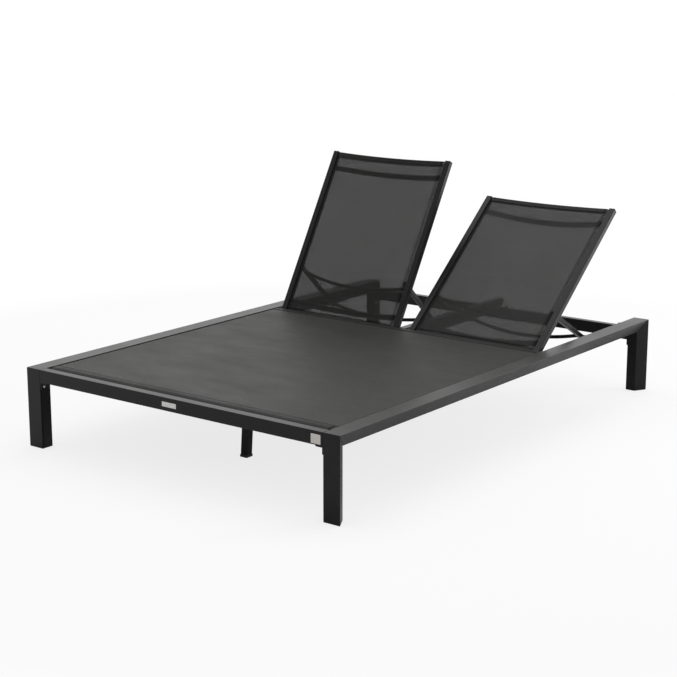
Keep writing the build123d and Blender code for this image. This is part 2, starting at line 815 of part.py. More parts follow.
def save_backrest(side, angle):
    """A backrest raised to the given degrees, with its strut standing on the racks."""
    axis = Axis((0, hinge_place, hinge_height), (1, 0, 0))
    placed = {}
    for name, solids in flat_backrest().items():
        placed[f"{side}_backrest_{name}"] = [solid.rotate(axis, angle) for solid in solids]
    prop = Pos(0, *pivot_point(angle)) * Rot(-strut_angle(angle), 0, 0)
    for name, solids in level_strut().items():
        placed[f"{side}_strut_{name}"] = [prop * solid for solid in solids]
    for name, solids in placed.items():
        save(name, solids if side == "right" else both_sides(solids)[len(solids):])


os.makedirs("parts", exist_ok=True)
save_frame()
save_fittings()
save_backrest("left", left_angle)
save_backrest("right", right_angle)
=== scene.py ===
import json
import math

import bmesh
import bpy
from mathutils import Matrix, Vector


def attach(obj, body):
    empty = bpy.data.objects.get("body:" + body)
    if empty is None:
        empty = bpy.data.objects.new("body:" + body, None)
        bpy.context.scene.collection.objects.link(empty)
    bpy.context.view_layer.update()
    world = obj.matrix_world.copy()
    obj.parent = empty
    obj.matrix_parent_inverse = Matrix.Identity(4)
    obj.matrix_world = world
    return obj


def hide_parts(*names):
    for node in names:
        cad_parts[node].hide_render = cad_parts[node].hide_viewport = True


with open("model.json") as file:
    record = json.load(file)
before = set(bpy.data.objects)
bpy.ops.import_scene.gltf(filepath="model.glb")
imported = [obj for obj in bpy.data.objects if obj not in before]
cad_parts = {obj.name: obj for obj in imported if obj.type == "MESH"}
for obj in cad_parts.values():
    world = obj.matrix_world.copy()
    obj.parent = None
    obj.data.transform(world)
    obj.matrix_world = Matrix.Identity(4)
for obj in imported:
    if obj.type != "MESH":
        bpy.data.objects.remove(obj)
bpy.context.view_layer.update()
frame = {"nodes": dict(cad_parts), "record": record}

scene = bpy.context.scene
scene.view_settings.view_transform = "Standard"

# Camera
# A long lens at standing eye height, off the foot end's right corner and tilted down at the lounger. Its
# place, turn and lens were fitted to the corners of the deck and the feet of the legs.
camera_place = (3.4902, -4.6766, 1.6759)
camera_yaw = 0.6528
camera_pitch = 0.2320
photo_focal_pixels = 1620.85
photo_width_pixels = 677
camera_reach = 60
camera_data = bpy.data.cameras.new("camera")
camera_data.sensor_width = 36
camera_data.lens = camera_data.sensor_width * photo_focal_pixels / photo_width_pixels
camera_data.clip_end = camera_reach
camera = bpy.data.objects.new("camera", camera_data)
camera.location = camera_place
camera.rotation_euler = (math.pi / 2 - camera_pitch, 0, camera_yaw)
scene.collection.objects.link(camera)
scene.camera = camera


# Studio
# A seamless white sweep with a large softbox overhead and a smaller one low at the right rear. The paper
# under the lounger keeps its shadow, and it turns pure white towards the edges of the picture.
def area_light(name, place, aim, size, power):
    """A square softbox that points at the given place."""
    data = bpy.data.lights.new(name, "AREA")
    data.size = size
    data.energy = power
    lamp = bpy.data.objects.new(name, data)
    lamp.location = place
    lamp.rotation_euler = (Vector(aim) - Vector(place)).to_track_quat("-Z", "Y").to_euler()
    scene.collection.objects.link(lamp)


area_light("overhead_softbox", place=(-0.4, 0.8, 4.4), aim=(0, 0, 0.3), size=4.4, power=80)
area_light("right_softbox", place=(3.4, 3.6, 0.9), aim=(0.7, 0.3, 0.3), size=1.6, power=90)


def add(tree, kind, inputs=(), **settings):
    """Adds a shader or geometry node. An input is a value, or the output socket that feeds it."""
    made = tree.nodes.new(kind)
    for name, value in settings.items():
        setattr(made, name, value)
    for name, value in dict(inputs).items():
        if isinstance(value, bpy.types.NodeSocket):
            tree.links.new(value, made.inputs[name])
        else:
            made.inputs[name].default_value = value
    return made


def math_of(tree, operation, *values):
    """One Math node, from numbers or sockets."""
    return add(tree, "ShaderNodeMath", dict(enumerate(values)), operation=operation).outputs[0]


def ranged(tree, value, low, high, to_low=0.0, to_high=1.0, fade="LINEAR"):
    """Stretches a value between low and high to one between to_low and to_high."""
    limits = {"From Min": low, "From Max": high, "To Min": to_low, "To Max": to_high}
    return add(tree, "ShaderNodeMapRange", {"Value": value} | limits, interpolation_type=fade).outputs[0]


def seen_rays(tree):
    """1 for the rays that show the background: the camera's own, and those in gloss and glass."""
    ray = add(tree, "ShaderNodeLightPath").outputs
    shown = math_of(tree, "MAXIMUM", ray["Is Camera Ray"], ray["Is Glossy Ray"])
    return math_of(tree, "MAXIMUM", shown, ray["Is Transmission Ray"])


pure_white = (1, 1, 1, 1)
ambient_level = 0.70
world = bpy.data.worlds.new("studio")
world.use_nodes = True
scene.world = world
tree = world.node_tree
tree.nodes.clear()
strength = ranged(tree, seen_rays(tree), 0.0, 1.0, ambient_level, 1.0)
light = add(tree, "ShaderNodeBackground", {"Color": pure_white, "Strength": strength})
add(tree, "ShaderNodeOutputWorld", {"Surface": light.outputs[0]})

sweep_half = 100.0
paper_grey = (0.86, 0.86, 0.86, 1)
paper_shadow_end = 1.2
paper_white_start = 2.8
near_white_share = 0.78
sweep_mesh = bpy.data.meshes.new("studio_floor")
sweep_corners = [(x * sweep_half, y * sweep_half, 0) for x, y in ((-1, -1), (1, -1), (1, 1), (-1, 1))]
sweep_mesh.from_pydata(sweep_corners, [], [(0, 1, 2, 3)])
studio_floor = bpy.data.objects.new("studio_floor", sweep_mesh)
scene.collection.objects.link(studio_floor)
paper = bpy.data.materials.new("white_paper")
paper.use_nodes = True
tree = paper.node_tree
tree.nodes.clear()
place = add(tree, "ShaderNodeTexCoord").outputs["Object"]
from_middle = add(tree, "ShaderNodeVectorMath", {0: place}, operation="LENGTH").outputs["Value"]
far_share = ranged(tree, from_middle, paper_shadow_end, paper_white_start, fade="SMOOTHSTEP")
direct = add(tree, "ShaderNodeLightPath").outputs["Is Camera Ray"]
white_share = math_of(tree, "MAXIMUM", far_share, math_of(tree, "MULTIPLY", direct, near_white_share))
white_share = math_of(tree, "MULTIPLY", white_share, seen_rays(tree))
matte = add(tree, "ShaderNodeBsdfDiffuse", {"Color": paper_grey})
white = add(tree, "ShaderNodeEmission", {"Color": pure_white, "Strength": 1.0})
mixed = add(tree, "ShaderNodeMixShader", {0: white_share, 1: matte.outputs[0], 2: white.outputs[0]})
add(tree, "ShaderNodeOutputMaterial", {"Surface": mixed.outputs[0]})
sweep_mesh.materials.append(paper)


# Powder coat
# Every aluminium piece has a charcoal powder coat, baked on. It has the fine pebble of the powder, a tone
# and a shine that vary in soft patches, and on what faces up a little dust mixed with a painted sheen.
def new_group(name, inputs):
    """An empty shader group that puts out a colour, a roughness and a normal, with its input sockets."""
    group = bpy.data.node_groups.new(name, "ShaderNodeTree")
    for title, value in inputs.items():
        kind = "NodeSocketColor" if isinstance(value, tuple) else "NodeSocketFloat"
        group.interface.new_socket(title, in_out="INPUT", socket_type=kind).default_value = value
    for title, kind in (("Colour", "Color"), ("Roughness", "Float"), ("Normal", "Vector")):
        group.interface.new_socket(title, in_out="OUTPUT", socket_type="NodeSocket" + kind)
    return group, group.nodes.new("NodeGroupInput").outputs


def finish_group(group, outputs):
    """Links the results of a group to its outputs."""
    result = group.nodes.new("NodeGroupOutput")
    for title, socket in outputs.items():
        group.links.new(socket, result.inputs[title])


def noise(tree, where, scale, detail, roughness=0.5):
    """A cloudy value that changes over the surface, mostly between noise_low and noise_high."""
    shape = {"Vector": where, "Scale": scale, "Detail": detail, "Roughness": roughness}
    return add(tree, "ShaderNodeTexNoise", shape).outputs[0]


noise_low = 0.3
noise_high = 0.7


def drift(tree, cloudy, low, high):
    """Stretches a noise to the given low and high."""
    return ranged(tree, cloudy, noise_low, noise_high, low, high)


def scaled(tree, vector, factor):
    """A colour or a vector, times a factor."""
    return add(tree, "ShaderNodeVectorMath", {0: vector, "Scale": factor}, operation="SCALE").outputs[0]


def blended(tree, share, first, second):
    """The first colour, turning into the second as the share goes from 0 to 1."""
    return add(tree, "ShaderNodeMix", {0: share, 6: first, 7: second}, data_type="RGBA").outputs[2]


def bumped(tree, height, distance, strength):
    """The normal of a surface with the given height on it."""
    relief = {"Height": height, "Distance": distance, "Strength": strength}
    return add(tree, "ShaderNodeBump", relief).outputs[0]


dust_and_sheen_slope = 0.5
coat_group, given = new_group(
    "powder_coat",
    {
        "Colour": (0.016, 0.016, 0.016, 1), "Top sheen and dust colour": (0.12, 0.118, 0.112, 1), "Top sheen and dust": 0.38,
        "Pebble size": 0.0009, "Pebble height": 0.00006, "Roughness": 0.33, "Mottle": 0.12,
    },
)
place = add(coat_group, "ShaderNodeTexCoord").outputs["Object"]
per_metre = math_of(coat_group, "DIVIDE", 1.0, given["Pebble size"])
pebbles = noise(coat_group, place, scale=per_metre, detail=2.0)
clouds = noise(coat_group, place, scale=7.0, detail=4.0, roughness=0.6)
facing = add(coat_group, "ShaderNodeNewGeometry").outputs["Normal"]
upward = add(coat_group, "ShaderNodeSeparateXYZ", {"Vector": facing}).outputs["Z"]
# Painted sheen: faces that look up are lightened towards the dust colour, partly real dust and partly
# painted light from above.
facing_up_share = ranged(coat_group, upward, dust_and_sheen_slope, 1.0)
dust_and_top_sheen = math_of(coat_group, "MULTIPLY", facing_up_share, drift(coat_group, clouds, 0.5, 1.0))
dust_and_top_sheen = math_of(coat_group, "MULTIPLY", dust_and_top_sheen, given["Top sheen and dust"])
tone = math_of(coat_group, "MULTIPLY_ADD", drift(coat_group, clouds, -1.0, 1.0), given["Mottle"], 1.0)
tone = math_of(coat_group, "MULTIPLY", tone, drift(coat_group, pebbles, 0.85, 1.15))
paint = blended(coat_group, dust_and_top_sheen, scaled(coat_group, given["Colour"], tone), given["Top sheen and dust colour"])
shine = math_of(coat_group, "ADD", drift(coat_group, clouds, -0.05, 0.05), given["Roughness"])
pebbled = bumped(coat_group, pebbles, given["Pebble height"], strength=0.7)
finish_group(coat_group, {"Colour": paint, "Roughness": shine, "Normal": pebbled})


def material_from(group, name, values, plain=()):
    """A material that takes its colour, roughness and normal from a group. Plain values are the shader's."""
    made = bpy.data.materials.new(name)
    made.use_nodes = True
    tree = made.node_tree
    tree.nodes.clear()
    source = add(tree, "ShaderNodeGroup", values, node_tree=group)
    shader = add(tree, "ShaderNodeBsdfPrincipled", plain)
    for title, socket in (("Colour", "Base Color"), ("Roughness", "Roughness"), ("Normal", "Normal")):
        tree.links.new(source.outputs[title], shader.inputs[socket])
    add(tree, "ShaderNodeOutputMaterial", {"Surface": shader.outputs[0]})
    return made


charcoal = (0.011, 0.011, 0.0114, 1)
coat_gloss = {"IOR": 1.48, "Specular Tint": (0.2, 0.2, 0.2, 1)}
frame_coat = material_from(coat_group, "charcoal_powder_coat", {"Colour": charcoal}, coat_gloss)

# Rails, legs, crossbars and centre beam
# Extruded and drawn aluminium, sawn, mitred and welded, with the edges eased before coating. Each piece
# keeps its CAD shape and gets the small radius that a sawn and tumbled edge has.
home = {node: body for body, nodes in frame["record"]["behaviour"]["bodies"].items() for node in nodes}
weld_distance = 0.000005
flat_angle = math.radians(0.5)
sharp_angle = math.radians(35)
rounding_steps = 2
flat_face_weight = 80


def place_piece(name, mesh, body, material=None):
    """Puts a finished mesh in the scene, riding on a body."""
    piece = bpy.data.objects.new(name, mesh)
    scene.collection.objects.link(piece)
    if material:
        mesh.materials.clear()
        mesh.materials.append(material)
    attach(piece, body)
    return piece


def rounded(piece, radius):
    """Rounds a piece's sharp edges."""
    rounding = piece.modifiers.new("rounding", "BEVEL")
    rounding.width = radius
    rounding.segments = rounding_steps
    rounding.limit_method = "ANGLE"
    rounding.angle_limit = sharp_angle
    rounding.use_clamp_overlap = False


def eased(node, radius, material):
    """A CAD node with its edges rounded, standing for that node."""
    shell = bmesh.new()
    shell.from_mesh(frame["nodes"][node].data)
    bmesh.ops.remove_doubles(shell, verts=shell.verts, dist=weld_distance)
    bmesh.ops.dissolve_limit(shell, angle_limit=flat_angle, verts=shell.verts, edges=shell.edges)
    mesh = bpy.data.meshes.new(node + "_eased")
    shell.to_mesh(mesh)
    shell.free()
    mesh.shade_smooth()
    piece = place_piece(node + "_eased", mesh, home[node], material)
    rounded(piece, radius)
    evened = piece.modifiers.new("even_shading", "WEIGHTED_NORMAL")
    evened.weight = flat_face_weight
    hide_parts(node)


rail_edge = 0.0015
crossbar_edge = 0.0016
centre_leg_edge = 0.0012
bracket_edge = 0.0008
leg_plate_edge = 0.0006
for side in ("left", "right"):
    for part in ("side_rail", "front_leg", "rear_leg"):
        eased(f"{side}_{part}", rail_edge, frame_coat)
for node in ("front_rail", "rear_crossbar", "hinge_crossbar", "leg_crossbar", "centre_beam"):
    eased(node, crossbar_edge, frame_coat)
eased("centre_leg", centre_leg_edge, frame_coat)
for side in ("left", "right"):
    for end in ("front", "rear"):
        eased(f"{side}_{end}_bracket", bracket_edge, frame_coat)
eased("centre_leg_plate", leg_plate_edge, frame_coat)

# Backrest tubes and bars, and the struts
# The same coat on lighter tubes, which get little dust and little painted top sheen. The bowed bars are
# bent round tube, welded between the side tubes or the arms.
side_tube_edge = 0.0013
bar_edge = 0.0004
tube_coat = material_from(
    coat_group, "charcoal_tube_coat", {"Colour": (0.009, 0.009, 0.0094, 1), "Top sheen and dust": 0.04}, coat_gloss
)
for side in ("left", "right"):
    for part in ("inner_tube", "outer_tube"):
        eased(f"{side}_backrest_{part}", side_tube_edge, tube_coat)
    for part in ("spreader_bar", "lower_bar"):
        eased(f"{side}_backrest_{part}", bar_edge, tube_coat)
    for part in ("inner_arm", "outer_arm", "stretcher", "foot_bar"):
        eased(f"{side}_strut_{part}", bar_edge, tube_coat)

# Moulded plastic
# Caps, glides, plugs, bushes, washers and racks are moulded in black, with the faint pebble of a sparked
# mould. They are pressed into their tubes, turn on the bolts, or are screwed down.
cap_edge = 0.0008
strut_cap_edge = 0.0005
bush_edge = 0.0003
rack_edge = 0.0006
glide_edge = 0.0006
spacer_edge = 0.0004
black_plastic = material_from(
    coat_group, "black_moulded_plastic",
    {
        "Colour": (0.014, 0.014, 0.015, 1), "Top sheen and dust": 0.03, "Pebble size": 0.0006, "Pebble height": 0.00003,
        "Roughness": 0.5,
    },
)
for side in ("left", "right"):
    eased(f"{side}_backrest_tube_caps", cap_edge, black_plastic)
    eased(f"{side}_strut_caps", strut_cap_edge, black_plastic)
    eased(f"{side}_backrest_hinge_bushes", bush_edge, black_plastic)
    eased(f"{side}_backrest_pivot_washers", bush_edge, black_plastic)
    for part in ("beam_rack", "rail_rack"):
        eased(f"{side}_{part}", rack_edge, black_plastic)
eased("leg_glides", glide_edge, black_plastic)
eased("centre_beam_plug", cap_edge, black_plastic)
eased("hinge_spacers", spacer_edge, black_plastic)

# Rubber
# The shoe that the centre leg stands in, and the buffers on the rear crossbar that a flat backrest comes
# down on. Both are soft black rubber with a dull, chalky skin.
shoe_edge = 0.0008
buffer_edge = 0.0003
rubber = material_from(
    coat_group, "black_rubber",
    {
        "Colour": (0.017, 0.017, 0.017, 1), "Top sheen and dust": 0.12, "Pebble size": 0.002, "Pebble height": 0.00002,
        "Roughness": 0.78,
    },
)
eased("centre_leg_shoe", shoe_edge, rubber)
eased("rear_buffers", buffer_edge, rubber)

# Steel fasteners
# Zinc plated dome head screws in the brackets and racks, and the bolts of the hinges and struts. The steel
# is faintly stained and a little dull.
bolt_edge = 0.0005
screw_edge = 0.0003
steel_group, given = new_group("plated_steel", {"Colour": (0.5, 0.5, 0.5, 1), "Roughness": 0.3})
place = add(steel_group, "ShaderNodeTexCoord").outputs["Object"]
stain = noise(steel_group, place, scale=240.0, detail=5.0)
metal = scaled(steel_group, given["Colour"], drift(steel_group, stain, 0.75, 1.1))
dull = math_of(steel_group, "ADD", drift(steel_group, stain, 0.12, -0.06), given["Roughness"])
etched = bumped(steel_group, stain, distance=0.00003, strength=0.5)
finish_group(steel_group, {"Colour": metal, "Roughness": dull, "Normal": etched})
steel = material_from(steel_group, "plated_steel", {"Colour": (0.52, 0.52, 0.53, 1)}, {"Metallic": 1.0})
for node in ("hinge_bolts", "left_backrest_pivot_bolts", "right_backrest_pivot_bolts"):
    eased(node, bolt_edge, steel)
for node in ("bracket_screws", "rack_screws"):
    eased(node, screw_edge, steel)

# Hexagon sockets of the dome head screws
# Each screw is turned by a hexagon key, in a socket at the top of its dome. One dark hexagon is set on
# every screw, facing the way its head does, its dark colour painted shade for the hollow of the socket.
socket_depth = 0.0006
socket_sunk = 0.00022
bracket_key_radius = 0.0020
rack_key_radius = 0.0013
socket_painted_shade = material_from(
    steel_group, "socket_shadow", {"Colour": (0.012, 0.012, 0.012, 1), "Roughness": 0.7}, {"Metallic": 0.2}
)


def repeating_tree(name, sizes):
    """An empty Geometry Nodes tree with named sizes and a finish, and its input sockets."""
    made = bpy.data.node_groups.new(name, "GeometryNodeTree")
    made.interface.new_socket("Geometry", in_out="INPUT", socket_type="NodeSocketGeometry")
    for title, value in sizes.items():
        made.interface.new_socket(title, in_out="INPUT", socket_type="NodeSocketFloat").default_value = value
    made.interface.new_socket("Finish", in_out="INPUT", socket_type="NodeSocketMaterial")
    made.interface.new_socket("Geometry", in_out="OUTPUT", socket_type="NodeSocketGeometry")
    return made, made.nodes.new("NodeGroupInput").outputs


def finish_tree(tree, copies, finish):
    """Makes the copies real, gives them their finish and ends the tree."""
    real = add(tree, "GeometryNodeRealizeInstances", {"Geometry": copies})
    painted = add(tree, "GeometryNodeSetMaterial", {"Geometry": real.outputs[0], "Material": finish})
    tree.links.new(painted.outputs[0], tree.nodes.new("NodeGroupOutput").inputs["Geometry"])


def repeated(name, tree, guide, values):
    """What a tree makes of a guide mesh, as one plain mesh. The values are for its named inputs."""
    carrier = bpy.data.objects.new(name + "_guide", guide)
    scene.collection.objects.link(carrier)
    maker = carrier.modifiers.new(tree.name, "NODES")
    maker.node_group = tree
    sockets = {item.name: item.identifier for item in tree.interface.items_tree if item.in_out == "INPUT"}
    for title, value in values.items():
        maker[sockets[title]] = value
    depsgraph = bpy.context.evaluated_depsgraph_get()
    made = bpy.data.meshes.new_from_object(carrier.evaluated_get(depsgraph))
    made.name = name
    bpy.data.objects.remove(carrier)
    return made


socket_sizes = {"Key radius": bracket_key_radius, "Depth": socket_depth}
socket_tree, given = repeating_tree("hexagon_sockets", socket_sizes)
hexagon = add(
    socket_tree, "GeometryNodeMeshCylinder",
    {
        "Vertices": 6, "Side Segments": 1, "Fill Segments": 1, "Radius": given["Key radius"],
        "Depth": given["Depth"],
    },
    fill_type="NGON",
)
outward = add(socket_tree, "GeometryNodeInputNamedAttribute", {"Name": "outward"}, data_type="FLOAT_VECTOR")
aligned = add(socket_tree, "FunctionNodeAlignRotationToVector", {"Vector": outward.outputs[0]}, axis="Z")
placed = add(
    socket_tree, "GeometryNodeInstanceOnPoints",
    {"Points": given["Geometry"], "Instance": hexagon.outputs["Mesh"], "Rotation": aligned.outputs[0]},
)
finish_tree(socket_tree, placed.outputs[0], given["Finish"])


def from_axis(reach, axis):
    """How far a spot lies from a screw's axis, squared. The reach is its way from the screw's middle."""
    return round(reach.length_squared - reach[axis] ** 2, 9)


def head_tops(node):
    """The top of every screw head of a node, and the way it faces. Each screw lies along X, Y or Z."""
    shell = bmesh.new()
    shell.from_mesh(frame["nodes"][node].data)
    bmesh.ops.remove_doubles(shell, verts=shell.verts, dist=weld_distance)
    unseen = set(shell.verts)
    found = []
    while unseen:
        front = [unseen.pop()]
        screw = []
        while front:
            corner = front.pop()
            screw.append(corner.co.copy())
            near = {edge.other_vert(corner) for edge in corner.link_edges} & unseen
            unseen -= near
            front += near
        low = Vector([min(spot[k] for spot in screw) for k in range(3)])
        high = Vector([max(spot[k] for spot in screw) for k in range(3)])
        size = high - low
        middle = (low + high) / 2
        axis = min(range(3), key=lambda k: abs(size[k - 1] - size[k - 2]))
        rim = max(screw, key=lambda spot: from_axis(spot - middle, axis))
        facing = Vector((0, 0, 0))
        facing[axis] = 1 if rim[axis] > middle[axis] else -1
        found.append((middle + facing * size[axis] / 2, facing))
    shell.free()
    return sorted(found, key=lambda screw_top: screw_top[0][:])


for node, key_radius in (("bracket_screws", bracket_key_radius), ("rack_screws", rack_key_radius)):
    tops = head_tops(node)
    guide = bpy.data.meshes.new(node + "_tops")
    guide.from_pydata([top - facing * socket_sunk for top, facing in tops], [], [])
    outward = guide.attributes.new("outward", "FLOAT_VECTOR", "POINT")
    for mark, (top, facing) in zip(outward.data, tops):
        mark.vector = facing
    values = {"Key radius": key_radius, "Finish": socket_painted_shade}
    mesh = repeated(node + "_sockets", socket_tree, guide, values)
    place_piece(node + "_sockets", mesh, home[node])

# Woven sling cloth
# Vinyl coated polyester yarn in a tight plain weave, a little over a millimetre to the yarn. It lets some
# light through, its tone drifts in soft bands along the loom, and single yarns run thick and thin.
yarn_pitch = 0.0013
off_panel = -9.0
endless = 99.0
weave_group, given = new_group(
    "sling_weave",
    {
        "Yarn": (0.012, 0.0119, 0.0110, 1), "Shadow": (0.004, 0.004, 0.0037, 1), "Pitch": yarn_pitch,
        "Roughness": 0.5, "Panel width": endless, "Panel length": endless, "Lower seam": off_panel,
        "Upper seam": off_panel, "Margin": off_panel,
    },
)
weave_group.interface.new_socket("Holes", in_out="OUTPUT", socket_type="NodeSocketFloat")
cloth = add(weave_group, "ShaderNodeUVMap", uv_map="cloth").outputs[0]
phase = scaled(weave_group, cloth, math_of(weave_group, "DIVIDE", 2 * math.pi, given["Pitch"]))
threads = add(weave_group, "ShaderNodeSeparateXYZ", {"Vector": phase}).outputs


def wave(way, stretch):
    """A 0 to 1 ripple across the yarns that run one way."""
    ripple = math_of(weave_group, "SINE", math_of(weave_group, "MULTIPLY", threads[way], stretch))
    return ranged(weave_group, ripple, -1.0, 1.0)


crossing_lift = 0.45
crown_height = 1.3
hole_edge = 0.10
yarn_edge = 0.28
yarns = math_of(weave_group, "MAXIMUM", wave("X", 1.0), wave("Y", 1.0))
crossings = math_of(weave_group, "MULTIPLY", wave("X", 0.5), wave("Y", 0.5))
crown = math_of(weave_group, "MULTIPLY_ADD", crossings, crossing_lift, yarns)
gap = ranged(weave_group, yarns, hole_edge, yarn_edge, 1.0, 0.0)
loom = add(weave_group, "ShaderNodeMapping", {"Vector": cloth, "Scale": (2.2, 5.0, 1.0)})
bands = noise(weave_group, loom.outputs[0], scale=1.4, detail=5.0, roughness=0.62)
spun = add(weave_group, "ShaderNodeMapping", {"Vector": cloth, "Scale": (1.0, 0.35, 1.0)})
slubs = noise(weave_group, spun.outputs[0], scale=150.0, detail=2.0, roughness=0.6)
tone = math_of(
    weave_group, "MULTIPLY", drift(weave_group, bands, 0.80, 1.20), drift(weave_group, slubs, 0.80, 1.20)
)
colour = blended(weave_group, ranged(weave_group, crown, 0.0, crown_height), given["Shadow"], given["Yarn"])
colour = scaled(weave_group, colour, tone)

line_core = 0.0005


def fading(distance, reach):
    """1 at a line, falling to 0 at the reach from it."""
    return ranged(weave_group, distance, line_core, reach, 1.0, 0.0, fade="SMOOTHSTEP")


side_fade = 0.014
seam_fade = 0.005
margin_blur = 0.0025
margin_darkening = 0.55
line_darkening = 0.65
line_dulling = 0.4
spots = add(weave_group, "ShaderNodeSeparateXYZ", {"Vector": cloth}).outputs
from_right = math_of(weave_group, "SUBTRACT", given["Panel width"], spots["X"])
to_side = math_of(weave_group, "MINIMUM", spots["X"], from_right)
past_lower = math_of(weave_group, "SUBTRACT", spots["Y"], given["Lower seam"])
upper_line = math_of(weave_group, "SUBTRACT", given["Panel length"], given["Upper seam"])
past_upper = math_of(weave_group, "SUBTRACT", spots["Y"], upper_line)
to_lower = math_of(weave_group, "ABSOLUTE", past_lower)
to_upper = math_of(weave_group, "ABSOLUTE", past_upper)
to_seam = math_of(weave_group, "MINIMUM", to_lower, to_upper)
past_margin = math_of(weave_group, "SUBTRACT", to_side, given["Margin"])
doubled = ranged(weave_group, past_margin, -margin_blur, margin_blur, margin_darkening, 0.0)
# Painted shade: the cloth is darkened along its sides beside the rails and tubes, and along the seams by the
# hems. The same mask darkens the doubled margin and closes its holes.
painted_shade_and_margin = math_of(weave_group, "MAXIMUM", fading(to_side, side_fade), fading(to_seam, seam_fade))
painted_shade_and_margin = math_of(weave_group, "MAXIMUM", painted_shade_and_margin, doubled)
shade_and_margin_factor = math_of(weave_group, "MULTIPLY_ADD", painted_shade_and_margin, -line_darkening, 1.0)
dull = math_of(weave_group, "MULTIPLY_ADD", painted_shade_and_margin, line_dulling, given["Roughness"])
finish_group(
    weave_group,
    {
        "Colour": scaled(weave_group, colour, shade_and_margin_factor),
        "Roughness": math_of(weave_group, "ADD", dull, drift(weave_group, bands, -0.08, 0.08)),
        "Normal": bumped(weave_group, crown, distance=0.00025, strength=0.6),
        "Holes": math_of(weave_group, "MULTIPLY", gap, shade_and_margin_factor),
    },
)
cloth_gloss = {"IOR": 1.48, "Specular Tint": (0.12, 0.12, 0.12, 1)}
open_slant = 0.15
closed_slant = 0.68


def cloth_material(name, values, openness):
    """A sling cloth. Its holes show what is behind it, and close where it is seen at a flat angle."""
    made = material_from(weave_group, name, values, cloth_gloss)
    tree = made.node_tree
    shader = next(node for node in tree.nodes if node.type == "BSDF_PRINCIPLED")
    source = next(node for node in tree.nodes if node.type == "GROUP")
    slant = add(tree, "ShaderNodeLayerWeight", {"Blend": 0.5}).outputs["Facing"]
    clear = ranged(tree, slant, open_slant, closed_slant, openness, 0.0)
    through = math_of(tree, "MULTIPLY", source.outputs["Holes"], clear)
    tree.links.new(math_of(tree, "SUBTRACT", 1.0, through), shader.inputs["Alpha"])
    return made


# Stretched panels
# Each sling is one panel, cut square and heat-bonded round a plastic bead along both sides. The beads lie
# in round grooves, and the cloth climbs out of them, almost level with the face of its rail or tube.
groove_to_face = 0.0043
climb_run = 0.007
climb_rise = 0.003
seam_inset = 0.0025
seam_reach = 0.0035
roll_reach = 0.020
roll_fade = 0.025
panel_steps = 56
climb_step = 0.001
roll_step = 0.002
pinch_step = 0.0014


def bow(share):
    """0 at both ends of a span and 1 in its middle."""
    return 1 - (2 * share - 1) ** 2


def stretched(origin, run, rise, width, length, seams, dip, belly, pinches, roll):
    """A function that gives the place on a panel for a share of its width and a share of its length."""

    def surface(across, along):
        """The belly, the pinched seams, the roll at the lower end, and the climb out of the grooves."""
        to_side = min(across, 1 - across) * width
        reaches = [(along - seam) * length / seam_reach for seam in seams]
        pinch = sum(depth * math.exp(-reach ** 2) for depth, reach in zip(pinches, reaches))
        rolled = roll * max(0.0, 1 - along * length / roll_reach) ** 1.5 * min(1.0, to_side / roll_fade)
        climb = min(1.0, max(0.0, to_side - groove_to_face) / climb_run)
        climb = climb_rise * climb ** 2 * (3 - 2 * climb)
        hollow = belly * bow(across) * bow(along) + pinch + rolled - climb
        upward = (length - dip * bow(across)) * along
        return origin + Vector((across * width, 0, 0)) + run * upward - rise * hollow

    return surface


def panel_mesh(name, surface, width, length, seams):
    """A panel of quads, closer together at its grooves, lower end and seams. Its UV map is in metres."""
    even = {step / panel_steps for step in range(panel_steps + 1)}
    climbing = {(groove_to_face + climb_step * step) / width for step in range(9)}
    across = sorted(even | climbing | {1 - share for share in climbing})
    rolling = {roll_step * step / length for step in range(1, 12)}
    pinched = {seam + pinch_step * step / length for seam in seams for step in range(-6, 7)}
    along = sorted(even | rolling | pinched)
    places = [surface(u, v) for v in along for u in across]
    faces = []
    for row in range(len(along) - 1):
        for column in range(len(across) - 1):
            corner = row * len(across) + column
            faces.append((corner, corner + 1, corner + 1 + len(across), corner + len(across)))
    mesh = bpy.data.meshes.new(name)
    mesh.from_pydata(places, [], faces)
    layer = mesh.uv_layers.new(name="cloth")
    for loop in mesh.loops:
        row, column = divmod(loop.vertex_index, len(across))
        layer.data[loop.index].uv = (across[column] * width, along[row] * length)
    mesh.shade_smooth()
    return mesh


# Hems
# The ends of a panel are turned over and lie double. A hem is its own thick strip on the panel's surface,
# short of the sides, where the cloth goes down into the grooves.
hem_thickness = 0.0028
hem_fold = 0.4
hem_columns = 60
hem_steps = 12
side_margin = 0.0135
hem_yarn = (0.014, 0.0139, 0.0130, 1)
hem_cloth = material_from(weave_group, "doubled_hem_weave", {"Yarn": hem_yarn}, cloth_gloss)


def evenly(width, margin, count):
    """Shares of a width, evenly spaced between the same margin at both sides."""
    near = margin / width
    return [near + (1 - 2 * near) * step / count for step in range(count + 1)]


